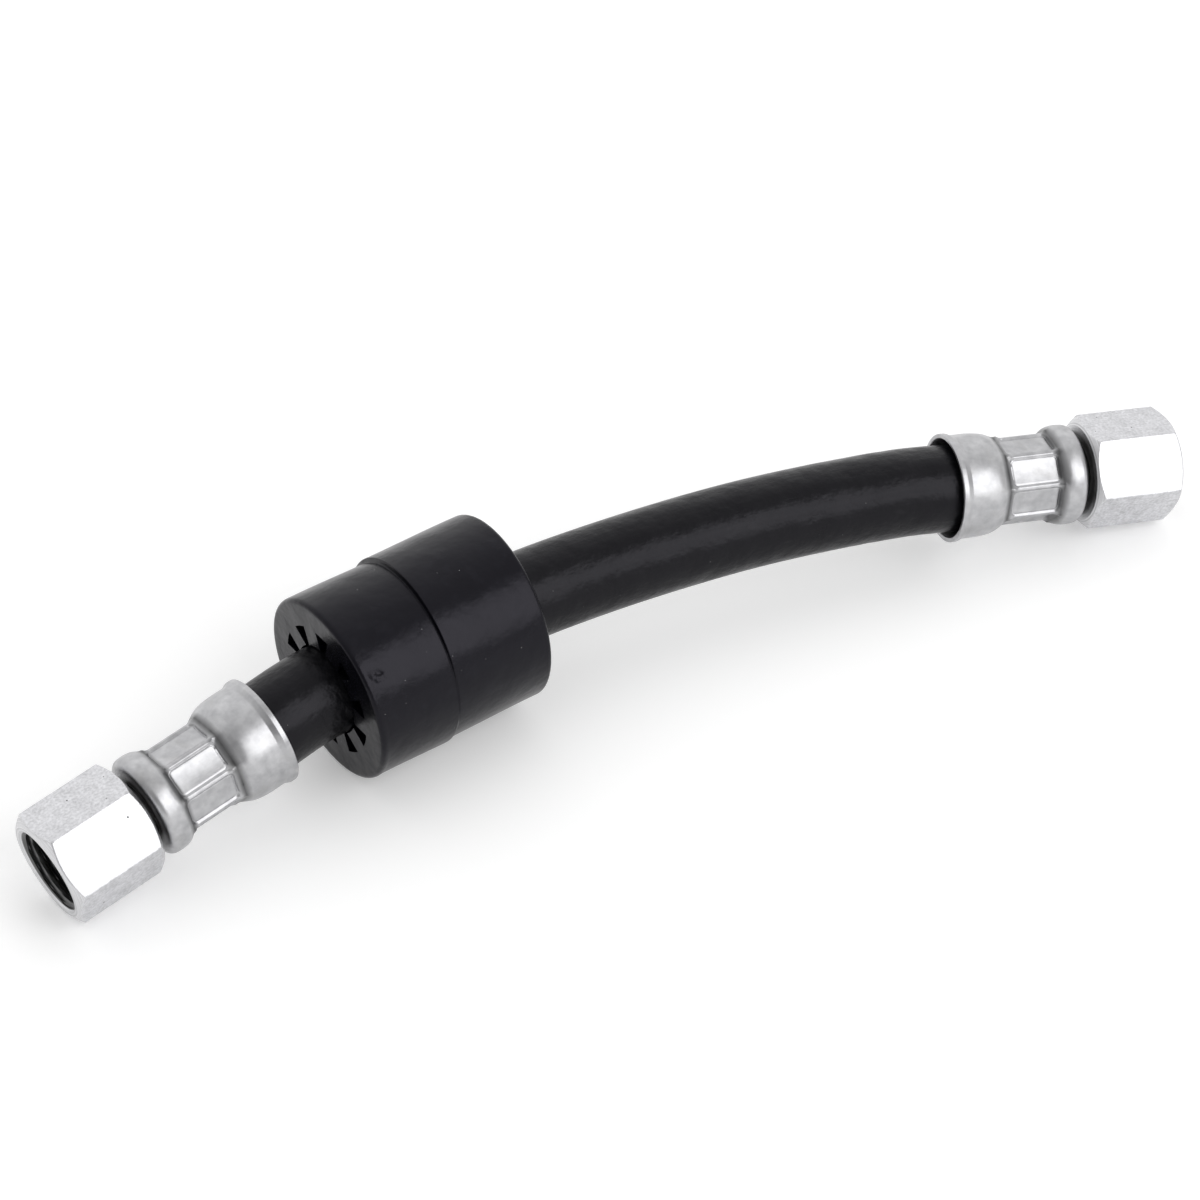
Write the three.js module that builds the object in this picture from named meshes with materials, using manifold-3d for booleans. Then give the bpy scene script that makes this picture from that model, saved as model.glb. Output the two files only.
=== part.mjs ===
// Fuel hose: a short rubber hose with a nipple, a crimped ferrule and a swivel nut at each end,
// and a thick rubber grommet gripping the hose near one end. Millimetres, +Z up. The hose lies
// on the surface z = 0 along X, with the origin under the middle of its box.

import * as THREE from "three";
import { mergeVertices } from "three/addons/utils/BufferGeometryUtils.js";
import Module from "manifold-3d";

const wasm = await Module();
wasm.setup();

// Driving dimensions in millimetres and degrees

const clearance = 0.3; // between pieces that touch, grip or slide

const hoseDiameter = 14.8;
const hoseBore = 8;

// Centreline of the free stretch, from the mouth of ferrule a to the mouth of ferrule b.
// Each fitting follows the first or last chord.
const route = [
  [-62.75, -2.54, 14.41],
  [-53.35, -0.74, 15.71],
  [-35.35, 1.7, 15.78],
  [-12, 4.6, 15.75],
  [24.4, 3.6, 15.45],
  [53.55, 0.01, 13.8],
  [62.75, -1.89, 12.9],
];

const ferruleLength = 23.2;
const ferruleWall = 1;
const endWall = 1.5; // wall of the closed end
const mouthWall = 0.7; // wall at the thinned edge of the mouth
const mouthDiameter = 18.4;
const mouthRim = 0.4; // straight stretch at the edge of the mouth
const mouthFlare = 2.4; // length of the flare at the mouth
const bellDiameter = 17.6;
const bellRounding = 0.8; // from the start of its rounding to the end of the bell
const collarDiameter = 17.1;
const collarLength = 4.7; // from the crimp to the closed end
const collarRounding = 1.1; // where the collar swells out of the crimp
const collarEdge = 1.54; // rounding at the closed end
const crimpLength = 8.7;
const crimpShoulder = 2.3; // length of the slope between bell and crimp
const shoulderDrop = 0.2; // fall of the slope between its two roundings
const shoulderRounding = 0.9; // from the start of the second rounding to the crimp
const crimpRounding = 0.4; // from each end of the crimp to the straight part of its corners
const crimpLip = 0.1; // from the pressed faces to the foot of the collar
const crimpSides = 8;
const crimpFlats = 13.66; // across two opposite pressed faces

const nippleBore = 5.5;
const tailRoot = 6.3; // diameter between the barbs
const barbCount = 4;
const barbPitch = 3.2;
const barbRise = 2.4; // length of a barb's cone
const barbStep = 0.1; // length over which it falls back to the root
const firstBarb = 0.8; // from the end of the tail to the first barb
const tailTip = 1.2; // from the ferrule's mouth to the end of the tail
const neckDiameter = 10;
const collarWidth = 1.1; // the neck's collar between the hose's end and the flange
const grooveDepth = 0.7; // groove that the ferrule's flange is swaged into
const headLength = 2.4; // cylinder of the head, between its seat and its cone
const noseDiameter = 7.2;
const noseAngle = 30; // between the sealing cone and the axis

const nutFlats = 17; // across flats
const nutLength = 16;
const nutGap = 1.4; // between the ferrule and the nut
const nutRingDiameter = 16.2; // flat ring left by the chamfer on each end
const nutChamferAngle = 30;
const nutBackWall = 2.8;
const threadBore = 12.4; // minor diameter of M14 x 1.5
const threadEntry = 14.5; // mouth of the countersink
const chamferReach = 1; // how far the chamfers are led on past the hexagon's corners

const grommetDiameter = 31.2; // of the front half
const backExtra = 0.2; // the back half is this much wider
const grommetFront = 14.6; // length from the front face to the mould's parting line
const grommetBack = 18.2; // length from the parting line to the back face
const grommetPlace = 12.2; // along the hose, from the mouth of ferrule a to the front face
const grommetFillet = 0.6;
const mouldStep = 0.78; // the back half stands this much higher than the front half
const frontSink = 0.18; // the front half's middle lies this much below the bore's
const partingOverlap = 0.1;
const boreOverrun = 2; // the star-shaped cutter sticks out this far at each face
const slotCount = 10;
const slotDiameter = 22;
const ribWidth = 3.5;

const hoseSides = 24;
const hoseStep = 6; // longest stretch of the hose without a ring of corners
const turnedSides = 40;
const innerSides = 24;
const weldDistance = 1e-4; // corners closer than this are one

// Each fitting: its end of the route, and how far its nut and its crimp are turned about it
const ends = [
  { name: "a", mouth: 0, inner: 1, nutTurn: 9, crimpTurn: 30 },
  { name: "b", mouth: -1, inner: -2, nutTurn: -9, crimpTurn: 17.5 },
];

// Sizes that follow from the driving dimensions

const hoseRadius = hoseDiameter / 2;
const boreRadius = hoseBore / 2;
const ferruleInside = ferruleLength - endWall; // inner face of the closed end
const crimpEnd = ferruleLength - collarLength;
const crimpStart = crimpEnd - crimpLength;
const crimpCorner = crimpFlats / 2 / Math.cos(Math.PI / crimpSides);
const crimpInside = crimpFlats / 2 - ferruleWall;
const squeezedRadius = crimpInside - clearance;
const neckRadius = neckDiameter / 2;
const grooveRadius = neckRadius - grooveDepth;
const collarStart = ferruleInside - clearance - collarWidth;
const hoseEnd = collarStart - clearance;
const hoseSlack = 2 * clearance; // along the axis, between the rubber and the shoulder's slope
const nutStart = ferruleLength + nutGap;
const nutHole = neckRadius + clearance;
const headRadius = threadBore / 2 - clearance;
const seatLift = clearance * Math.SQRT2; // along the axis, for a clearance square to a 45 degree seat
const grommetLength = grommetFront + grommetBack;

// Materials

function zincSteel() {
  return new THREE.MeshStandardMaterial({ color: 0xc4c7c9, roughness: 0.38, metalness: 1 });
}

function hoseRubber() {
  return new THREE.MeshStandardMaterial({ color: 0x1b1b1d, roughness: 0.55, metalness: 0 });
}

function grommetRubber() {
  return new THREE.MeshStandardMaterial({ color: 0x161617, roughness: 0.85, metalness: 0 });
}

// Solids

// Keeps positions alone, joins equal ones and drops the slivers at a lathe's axis.
function weld(geometry) {
  const bare = geometry.clone();
  bare.deleteAttribute("normal");
  bare.deleteAttribute("uv");
  const welded = mergeVertices(bare, weldDistance);
  const kept = [];
  for (let i = 0; i < welded.index.count; i += 3) {
    const corners = [welded.index.getX(i), welded.index.getX(i + 1), welded.index.getX(i + 2)];
    if (new Set(corners).size === 3) kept.push(...corners);
  }
  welded.setIndex(kept);
  return welded;
}

function finished(geometry) {
  const welded = weld(geometry);
  welded.computeVertexNormals();
  return welded;
}

function toSolid(geometry) {
  const welded = weld(geometry);
  return new wasm.Manifold(
    new wasm.Mesh({
      numProp: 3,
      vertProperties: new Float32Array(welded.attributes.position.array),
      triVerts: new Uint32Array(welded.index.array),
    }),
  );
}

function toGeometry(solid) {
  const mesh = solid.getMesh();
  const geometry = new THREE.BufferGeometry();
  geometry.setAttribute("position", new THREE.BufferAttribute(mesh.vertProperties, 3));
  geometry.setIndex(new THREE.BufferAttribute(mesh.triVerts, 1));
  return finished(geometry);
}

// A solid of revolution about Z. The section is a closed loop of [radius, z] points that runs
// out along its lower end, up its outside and back in along its upper end.
function turned(section, sides) {
  const loop = section.map(([radius, height]) => new THREE.Vector2(radius, height));
  if (section[0][0] > 0) loop.push(loop[0].clone());
  return new THREE.LatheGeometry(loop, sides).rotateX(Math.PI / 2);
}

// Points of a rounded corner from one point to another, bulging towards the corner point.
function rounded(from, corner, to, steps = 3) {
  const curve = new THREE.QuadraticBezierCurve(
    new THREE.Vector2(...from),
    new THREE.Vector2(...corner),
    new THREE.Vector2(...to),
  );
  return curve.getPoints(steps).map((point) => [point.x, point.y]);
}

// Route and frames

const routePoints = route.map((point) => new THREE.Vector3(...point));
const freeRoute = new THREE.CatmullRomCurve3(routePoints);
const frames = ends.map(fittingFrame);
const centreline = hoseCentreline();

// A frame with z along the given direction and x level.
function frameAt(place, direction) {
  const across = new THREE.Vector3(0, 0, 1).cross(direction).normalize();
  const upward = direction.clone().cross(across);
  return new THREE.Matrix4().makeBasis(across, upward, direction).setPosition(place);
}

// The frame of a fitting: its origin in the ferrule's mouth and z out along the fitting.
function fittingFrame(end) {
  const mouth = routePoints.at(end.mouth);
  const outward = mouth.clone().sub(routePoints.at(end.inner)).normalize();
  return frameAt(mouth, outward);
}

// The whole hose: the free route, and straight on along each fitting to the end of the rubber.
function hoseCentreline() {
  const deepEnds = frames.map((frame) => new THREE.Vector3(0, 0, hoseEnd).applyMatrix4(frame));
  const whole = new THREE.CurvePath();
  whole.add(new THREE.LineCurve3(deepEnds[0], routePoints.at(0)));
  whole.add(freeRoute);
  whole.add(new THREE.LineCurve3(routePoints.at(-1), deepEnds[1]));
  return whole;
}

// Bends a straight piece along Z to follow the hose: z counts from the rubber's end in ferrule a.
function bendAlongHose(geometry) {
  const position = geometry.attributes.position;
  const length = centreline.getLength();
  const point = new THREE.Vector3();
  for (let i = 0; i < position.count; i++) {
    point.fromBufferAttribute(position, i);
    const along = THREE.MathUtils.clamp(point.z / length, 0, 1);
    const frame = frameAt(centreline.getPoint(along), centreline.getTangent(along));
    point.setZ(0).applyMatrix4(frame);
    position.setXYZ(i, point.x, point.y, point.z);
  }
  geometry.computeVertexNormals();
  return geometry;
}

// Ferrule

// The inside of the ferrule as [radius, z] points from the closed end to the mouth
function ferruleInsideSection() {
  const collar = collarDiameter / 2 - ferruleWall;
  const bell = bellDiameter / 2 - ferruleWall;
  return [
    [grooveRadius + clearance, ferruleInside],
    [collar, ferruleInside],
    [collar, crimpEnd + collarRounding],
    [crimpInside, crimpEnd],
    [crimpInside, crimpStart],
    [bell, crimpStart - crimpShoulder],
    [bell, mouthFlare],
    [mouthDiameter / 2 - mouthWall, 0],
  ];
}

function ferruleOutsideSection() {
  const collar = collarDiameter / 2;
  const bell = bellDiameter / 2;
  const bellEnd = crimpStart - crimpShoulder;
  const slopeRadius = (bell + crimpCorner) / 2;
  const slopeMiddle = crimpStart - crimpShoulder / 2;
  return [
    [mouthDiameter / 2, 0],
    [mouthDiameter / 2, mouthRim],
    [bell, mouthFlare],
    ...rounded([bell, bellEnd - bellRounding], [bell, bellEnd], [slopeRadius, slopeMiddle]),
    ...rounded(
      [slopeRadius - shoulderDrop, crimpStart - shoulderRounding],
      [crimpCorner, crimpStart - crimpRounding],
      [crimpCorner, crimpStart + crimpRounding],
    ),
    [crimpCorner, (crimpStart + crimpEnd) / 2],
    [crimpCorner, crimpEnd - crimpRounding],
    ...rounded([crimpCorner, crimpEnd - crimpLip], [collar, crimpEnd], [collar, crimpEnd + collarRounding]),
    ...rounded(
      [collar, ferruleLength - collarEdge],
      [collar, ferruleLength],
      [collar - collarEdge, ferruleLength],
    ),
    [grooveRadius + clearance, ferruleLength],
  ];
}

// Moves the outside of the crimped stretch onto the faces that the dies pressed.
function pressCrimp(geometry) {
  const side = (2 * Math.PI) / crimpSides;
  const position = geometry.attributes.position;
  for (let i = 0; i < position.count; i++) {
    const x = position.getX(i);
    const y = position.getY(i);
    const z = position.getZ(i);
    const radius = Math.hypot(x, y);
    const outside = radius > crimpInside + ferruleWall / 2;
    const crimped = z > crimpStart - crimpLip && z < crimpEnd - crimpLip / 2;
    if (!outside || !crimped) continue;
    const angle = Math.atan2(y, x) + 2 * Math.PI;
    const fromFace = (angle % side) - side / 2;
    const wanted = crimpFlats / 2 / Math.cos(fromFace);
    const scale = Math.min(1, wanted / radius);
    position.setXY(i, x * scale, y * scale);
  }
  return geometry;
}

function ferruleGeometry() {
  const section = [...ferruleOutsideSection(), ...ferruleInsideSection()];
  return finished(pressCrimp(turned(section, turnedSides)));
}

// Nipple

function nippleGeometry() {
  const bore = nippleBore / 2;
  const barb = boreRadius - clearance;
  const seatStart = nutStart + nutBackWall - (nutHole - neckRadius) + seatLift;
  const headStart = seatStart + (headRadius - neckRadius);
  const coneStart = headStart + headLength;
  const coneLength = (headRadius - noseDiameter / 2) / Math.tan(THREE.MathUtils.degToRad(noseAngle));
  const section = [
    [bore, tailTip],
    [tailRoot / 2, tailTip],
  ];
  for (let i = 0; i < barbCount; i++) {
    const start = tailTip + firstBarb + i * barbPitch;
    section.push([tailRoot / 2, start]);
    section.push([barb, start + barbRise]);
    section.push([tailRoot / 2, start + barbRise + barbStep]);
  }
  section.push(
    [tailRoot / 2, collarStart],
    [neckRadius, collarStart],
    [neckRadius, collarStart + collarWidth],
    [grooveRadius, collarStart + collarWidth],
    [grooveRadius, ferruleLength + clearance],
    [neckRadius, ferruleLength + clearance],
    [neckRadius, seatStart],
    [headRadius, headStart],
    [headRadius, coneStart],
    [noseDiameter / 2, coneStart + coneLength],
    [bore, coneStart + coneLength],
  );
  return finished(turned(section, innerSides));
}

// Nut

function nutGeometry(turn) {
  const corner = nutFlats / 2 / Math.cos(Math.PI / 6);
  const reach = corner + chamferReach;
  const ring = nutRingDiameter / 2;
  const chamfer = (reach - ring) * Math.tan(THREE.MathUtils.degToRad(nutChamferAngle));
  const thread = threadBore / 2;
  const front = nutLength;
  const prism = new THREE.CylinderGeometry(corner, corner, nutLength, 6)
    .rotateX(Math.PI / 2)
    .rotateZ(Math.PI / 6)
    .translate(0, 0, nutLength / 2);
  const round = turned(
    [
      [nutHole, 0],
      [ring, 0],
      [reach, chamfer],
      [reach, front - chamfer],
      [ring, front],
      [threadEntry / 2, front],
      [thread, front - (threadEntry / 2 - thread)],
      [thread, nutBackWall + (thread - nutHole)],
      [nutHole, nutBackWall],
    ],
    turnedSides,
  ).rotateZ(Math.PI / turnedSides);
  const nut = toSolid(prism).intersect(toSolid(round));
  return toGeometry(nut).rotateZ(THREE.MathUtils.degToRad(turn)).translate(0, 0, nutStart);
}

// Hose

// The outside of the squeezed end as [radius, distance from the hose's end] points
const squeezedEnd = [
  [squeezedRadius, 0],
  [squeezedRadius, hoseEnd - crimpStart + hoseSlack],
  [hoseRadius, hoseEnd - crimpStart + crimpShoulder + hoseSlack],
];

function hoseGeometry() {
  const length = centreline.getLength();
  const freeStart = squeezedEnd.at(-1)[1];
  const steps = Math.ceil((length - 2 * freeStart) / hoseStep);
  const outside = [...squeezedEnd];
  for (let i = 1; i < steps; i++) {
    outside.push([hoseRadius, freeStart + ((length - 2 * freeStart) * i) / steps]);
  }
  outside.push(...squeezedEnd.map(([radius, height]) => [radius, length - height]).reverse());
  const bore = outside.map(([, height]) => [boreRadius, height]).reverse();
  return bendAlongHose(finished(turned([...outside, ...bore], hoseSides)));
}

// Grommet

// One moulded half about Z, with a fillet at its outer end. It points along +Z or -Z, and runs
// a little past the parting line into the other half.
function grommetHalf(length, radius, side) {
  const fillet = grommetFillet;
  const section = [
    [0, -partingOverlap],
    [radius, -partingOverlap],
    ...rounded([radius, length - fillet], [radius, length], [radius - fillet, length], 2),
    [0, length],
  ];
  const half = turned(section, turnedSides);
  return side > 0 ? half : half.rotateX(Math.PI);
}

// The bore with a slot between every two ribs: ribs have parallel sides and end on the hose.
function starBore() {
  const inner = hoseRadius + clearance;
  const outer = slotDiameter / 2;
  const pitch = (2 * Math.PI) / slotCount;
  const innerHalf = pitch / 2 - Math.asin(ribWidth / 2 / inner);
  const outerHalf = pitch / 2 - Math.asin(ribWidth / 2 / outer);
  const star = new THREE.Shape();
  for (let i = 0; i < slotCount; i++) {
    const middle = Math.PI / 2 + i * pitch;
    star.absarc(0, 0, inner, middle - pitch / 2, middle - innerHalf);
    star.absarc(0, 0, outer, middle - outerHalf, middle + outerHalf);
    star.absarc(0, 0, inner, middle + innerHalf, middle + pitch / 2);
  }
  const depth = grommetLength + 2 * boreOverrun;
  return new THREE.ExtrudeGeometry(star, { depth, curveSegments: 2, bevelEnabled: false })
    .translate(0, 0, -grommetFront - boreOverrun);
}

function grommetGeometry() {
  const radius = grommetDiameter / 2;
  const front = grommetHalf(grommetFront, radius, -1).translate(0, -frontSink, 0);
  const back = grommetHalf(grommetBack, radius + backExtra / 2, 1).translate(0, mouldStep - frontSink, 0);
  const grommet = toSolid(front).add(toSolid(back)).subtract(toSolid(starBore()));
  return bendAlongHose(toGeometry(grommet).translate(0, 0, hoseEnd + grommetPlace + grommetFront));
}

// The whole hose

function piece(name, geometry, material) {
  const mesh = new THREE.Mesh(geometry, material);
  mesh.name = name;
  return mesh;
}

function fitting(end, frame) {
  const group = new THREE.Group();
  const ferrule = piece(`ferrule_${end.name}`, ferruleGeometry(), zincSteel());
  ferrule.rotation.z = THREE.MathUtils.degToRad(end.crimpTurn);
  group.add(ferrule);
  group.add(piece(`nipple_${end.name}`, nippleGeometry(), zincSteel()));
  group.add(piece(`nut_${end.name}`, nutGeometry(end.nutTurn), zincSteel()));
  group.applyMatrix4(frame);
  return group;
}

const fuelHose = new THREE.Group();
fuelHose.add(piece("hose", hoseGeometry(), hoseRubber()));
fuelHose.add(piece("grommet", grommetGeometry(), grommetRubber()));
ends.forEach((end, i) => fuelHose.add(fitting(end, frames[i])));

export default fuelHose;
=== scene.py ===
import math

import bpy
import numpy as np
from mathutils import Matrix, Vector, noise


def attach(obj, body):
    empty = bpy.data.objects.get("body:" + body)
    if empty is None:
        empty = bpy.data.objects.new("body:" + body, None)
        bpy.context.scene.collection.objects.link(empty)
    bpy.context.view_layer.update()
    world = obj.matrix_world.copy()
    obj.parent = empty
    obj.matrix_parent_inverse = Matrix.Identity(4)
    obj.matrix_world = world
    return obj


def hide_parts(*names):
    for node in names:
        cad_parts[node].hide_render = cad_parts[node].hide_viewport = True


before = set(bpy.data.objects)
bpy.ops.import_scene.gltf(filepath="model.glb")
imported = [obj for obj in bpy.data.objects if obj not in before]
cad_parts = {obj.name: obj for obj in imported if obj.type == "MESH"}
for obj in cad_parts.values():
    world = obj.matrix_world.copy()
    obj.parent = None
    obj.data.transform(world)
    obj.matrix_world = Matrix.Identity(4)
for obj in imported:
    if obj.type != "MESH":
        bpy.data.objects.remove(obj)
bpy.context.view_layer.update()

# A fuel hose: a black rubber hose with a crimped fitting and a swivel nut at each end, and a
# thick moulded grommet round it. Lengths are in metres unless their name says otherwise, and
# the pieces' own sizes are given in millimetres through mm.

mm = 0.001
clearance = 0.3 * mm    # between pieces that touch, grip or slide

# Centreline of the free stretch, from the mouth of ferrule a to the mouth of ferrule b
route = [
    (-0.06275, -0.00254, 0.01441),
    (-0.05335, -0.00074, 0.01571),
    (-0.03535, 0.0017, 0.01578),
    (-0.012, 0.0046, 0.01575),
    (0.0244, 0.0036, 0.01545),
    (0.05355, 0.00001, 0.0138),
    (0.06275, -0.00189, 0.0129),
]

hose_diameter = 14.8 * mm
hose_bore = 8 * mm

ferrule_length = 23.2 * mm
ferrule_wall = 1 * mm
end_wall = 1.5 * mm
mouth_wall = 0.7 * mm
mouth_diameter = 18.4 * mm
mouth_flare = 2.4 * mm
bell_diameter = 17.6 * mm
collar_diameter = 17.1 * mm
collar_length = 4.7 * mm
crimp_length = 8.7 * mm
crimp_shoulder = 2.3 * mm
crimp_sides = 8
crimp_flats = 13.66 * mm

nipple_bore = 5.5 * mm
tail_root = 6.3 * mm
barb_count = 4
barb_pitch = 3.2 * mm
tail_tip = 1.2 * mm
neck_diameter = 10 * mm
neck_collar = 1.1 * mm
groove_depth = 0.7 * mm
head_length = 2.4 * mm
nose_diameter = 7.2 * mm
nose_angle = math.radians(30)

nut_flats = 17 * mm
nut_length = 16 * mm
nut_gap = 1.4 * mm
nut_ring_diameter = 16.2 * mm
nut_chamfer_angle = math.radians(30)
nut_back_wall = 2.8 * mm
thread_bore = 12.4 * mm
thread_diameter = 14 * mm
thread_pitch = 1.5 * mm
thread_entry = 14.5 * mm

grommet_diameter = 31.2 * mm
back_extra = 0.2 * mm
grommet_front = 14.6 * mm
grommet_back = 18.2 * mm
grommet_place = 12.2 * mm
mould_step = 0.78 * mm
front_sink = 0.18 * mm
slot_count = 10
slot_diameter = 22 * mm
rib_width = 3.5 * mm

hose_radius = hose_diameter / 2
crimp_end = ferrule_length - collar_length
crimp_start = crimp_end - crimp_length
ferrule_inside = ferrule_length - end_wall
crimp_face = crimp_flats / 2
crimp_inside = crimp_face - ferrule_wall
squeezed_radius = crimp_inside - clearance
neck_radius = neck_diameter / 2
groove_radius = neck_radius - groove_depth
neck_collar_start = ferrule_inside - clearance - neck_collar
hose_end = neck_collar_start - clearance
nut_start = ferrule_length + nut_gap
nut_hole = neck_radius + clearance
head_radius = thread_bore / 2 - clearance

# The two fittings: which end of the route they sit on, and how far nut and crimp are turned
fittings = [
    {"name": "a", "mouth": 0, "inner": 1, "nut_turn": 9, "crimp_turn": 30},
    {"name": "b", "mouth": -1, "inner": -2, "nut_turn": -9, "crimp_turn": 17.5},
]


# Centreline and frames


def unit(vectors):
    return vectors / np.linalg.norm(vectors, axis=-1, keepdims=True)


def free_curve(points, steps=60):
    """A centripetal Catmull-Rom curve through the points, its ends led on straight."""
    points = np.array(points)
    led_on = np.vstack([2 * points[0] - points[1], points, 2 * points[-1] - points[-2]])
    stretches = []
    for a, b, c, d in zip(led_on, led_on[1:], led_on[2:], led_on[3:]):
        before, middle, after = (math.sqrt(math.dist(p, q)) for p, q in ((a, b), (b, c), (c, d)))
        leave = ((b - a) / before - (c - a) / (before + middle) + (c - b) / middle) * middle
        arrive = ((c - b) / middle - (d - b) / (middle + after) + (d - c) / after) * middle
        t = np.linspace(0, 1, steps, endpoint=False)[:, None]
        stretches.append(
            (2 * t**3 - 3 * t**2 + 1) * b
            + (t**3 - 2 * t**2 + t) * leave
            + (3 * t**2 - 2 * t**3) * c
            + (t**3 - t**2) * arrive
        )
    return np.vstack([*stretches, points[-1:]])


def frame_along(direction):
    """Across, upward and along, for each direction; across is level."""
    along = unit(direction)
    across = unit(np.cross([0.0, 0.0, 1.0], along))
    return across, np.cross(along, across), along


end_margin = 0.001 * mm


class Centreline:
    """The hose's middle line, from the rubber's end in ferrule a to its end in ferrule b."""

    def __init__(self, points):
        free = free_curve(points)
        start = free[0] + hose_end * unit(free[0] - np.array(points[1]))
        end = free[-1] + hose_end * unit(free[-1] - np.array(points[-2]))
        self.points = np.vstack([start, free, end])
        steps = np.linalg.norm(np.diff(self.points, axis=0), axis=1)
        self.at = np.concatenate([[0], np.cumsum(steps)])
        self.length = self.at[-1]

    def place(self, along):
        return np.stack([np.interp(along, self.at, self.points[:, k]) for k in range(3)], axis=-1)

    def direction(self, along, reach=0.5 * mm):
        return self.place(along + reach) - self.place(along - reach)

    def bend(self, points):
        """Moves straight points, with z counted from the rubber's end, onto the hose's line."""
        along = np.clip(points[..., 2], end_margin, self.length - end_margin)
        across, upward, _ = frame_along(self.direction(along))
        return self.place(along) + points[..., :1] * across + points[..., 1:2] * upward


centreline = Centreline(route)


def fitting_place(fitting):
    """A function that moves points from a fitting's own frame to where the fitting is."""
    mouth = np.array(route[fitting["mouth"]])
    across, upward, outward = frame_along(mouth - np.array(route[fitting["inner"]]))

    def place(points):
        sideways = points[..., :1] * across + points[..., 1:2] * upward
        return mouth + sideways + points[..., 2:] * outward

    return place


# Sections and meshes

arc_rows = 7
side_share = 0.48


def smooth(value, low, high):
    t = np.clip((value - low) / (high - low), 0, 1)
    return t * t * (3 - 2 * t)


def full_turn(columns):
    return np.linspace(0, 2 * math.pi, columns, endpoint=False)


def corner(radius, height, rounding=0.0, rows=0):
    """A corner of a closed section, how far it is rounded, and how many rows fill the way to the
    next corner. The radius and the height may each hold one number for every column."""
    return radius, height, rounding, rows


def section(corners, columns):
    """Rows (row, column, [radius, z]) of a closed section with its corners rounded."""
    points = np.array([[np.broadcast_to(part, columns) for part in c[:2]] for c in corners])
    points = points.transpose(0, 2, 1)
    rounded = []
    for i, (_, _, rounding, _) in enumerate(corners):
        if not rounding:
            rounded.append([points[i]])
            continue
        back = points[i - 1] - points[i]
        ahead = points[(i + 1) % len(points)] - points[i]
        back_length = np.linalg.norm(back, axis=1, keepdims=True)
        ahead_length = np.linalg.norm(ahead, axis=1, keepdims=True)
        cosine = (back * ahead).sum(axis=1, keepdims=True) / (back_length * ahead_length)
        half = np.arccos(np.clip(cosine, -1, 1)) / 2
        reach = np.minimum(rounding / np.tan(half), side_share * np.minimum(back_length, ahead_length))
        first = points[i] + back / back_length * reach
        last = points[i] + ahead / ahead_length * reach
        arc = []
        for t in np.linspace(0, 1, arc_rows):
            middle = 2 * t * (1 - t) * np.sin(half)
            whole = (1 - t) ** 2 + middle + t**2
            arc.append(((1 - t) ** 2 * first + middle * points[i] + t**2 * last) / whole)
        rounded.append(arc)
    rows = []
    for arc, following, (_, _, _, count) in zip(rounded, rounded[1:] + rounded[:1], corners):
        rows += arc
        shares = np.arange(1, count + 1) / (count + 1)
        rows += [arc[-1] + (following[0] - arc[-1]) * share for share in shares]
    return np.array(rows)


def spun(rows, angles):
    """Points (row, column, xyz) of section rows turned about z."""
    radius, height = rows[..., 0], rows[..., 1]
    return np.stack([radius * np.cos(angles), radius * np.sin(angles), height], axis=-1)


def turned_about_z(points, degrees):
    c, s = math.cos(math.radians(degrees)), math.sin(math.radians(degrees))
    x, y, z = points[..., 0], points[..., 1], points[..., 2]
    return np.stack([c * x - s * y, s * x + c * y, z], axis=-1)


def lumps(points, size, seed):
    """Smooth noise from about -1 to 1 at each point, with features about that size across."""
    flat = (points.reshape(-1, 3) / size).tolist()
    values = [noise.noise(Vector((x + seed, y, z))) for x, y, z in flat]
    return np.array(values).reshape(points.shape[:-1])


def piece(name, points, own, finish, body="hose_assembly", marks=None, crease=35):
    """A mesh that stands for the solid of the same name, from a grid of points that closes on
    itself both ways. own holds the same points in the piece's straight frame and marks one number
    for each point, and the piece's finish reads both."""
    rows, columns = points.shape[:2]
    index = np.arange(rows * columns).reshape(rows, columns)
    beside = np.roll(index, -1, axis=1)
    above, above_beside = np.roll(index, -1, axis=0), np.roll(beside, -1, axis=0)
    faces = np.stack([index, beside, above_beside, above], axis=-1)
    mesh = bpy.data.meshes.new(name)
    mesh.from_pydata(points.reshape(-1, 3), [], faces.reshape(-1, 4).tolist())
    straight = mesh.attributes.new("own", "FLOAT_VECTOR", "POINT")
    straight.data.foreach_set("vector", own.astype(np.float32).ravel())
    if marks is not None:
        marked = mesh.attributes.new("marks", "FLOAT", "POINT")
        marked.data.foreach_set("value", marks.astype(np.float32).ravel())
    mesh.shade_smooth()
    mesh.set_sharp_from_angle(angle=math.radians(crease))
    mesh.materials.append(finish)
    made = bpy.data.objects.new(name, mesh)
    bpy.context.scene.collection.objects.link(made)
    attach(made, body)
    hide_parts(name)
    made.name = name + "_shown"
    return made


# Camera

camera_target = Vector((5.24 * mm, 13.44 * mm, 0))
camera_distance = 577.8 * mm
camera_elevation = math.radians(41.67)
camera_heading = math.radians(28.36)
camera_lens_mm = 103.14
camera_sensor_mm = 36


def studio(right, away, up):
    """A direction given as seen by the camera: to the right, away from it and up."""
    c, s = math.cos(camera_heading), math.sin(camera_heading)
    return Vector((right * c + away * s, away * c - right * s, up)).normalized()


def aimed(data, place, target):
    """Adds a camera or lamp at that place, looking at the target."""
    made = bpy.data.objects.new(data.name, data)
    made.location = place
    made.rotation_euler = (target - place).to_track_quat("-Z", "Y").to_euler()
    bpy.context.scene.collection.objects.link(made)
    return made


def add_camera():
    data = bpy.data.cameras.new("camera")
    data.lens = camera_lens_mm
    data.sensor_width = camera_sensor_mm
    towards_camera = studio(0, -math.cos(camera_elevation), math.sin(camera_elevation))
    place = camera_target + towards_camera * camera_distance
    bpy.context.scene.camera = aimed(data, place, camera_target)


add_camera()


# Shader maths


def connect(tree, socket, value):
    if isinstance(value, Wire):
        tree.links.new(value.socket, socket)
    else:
        socket.default_value = value


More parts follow.
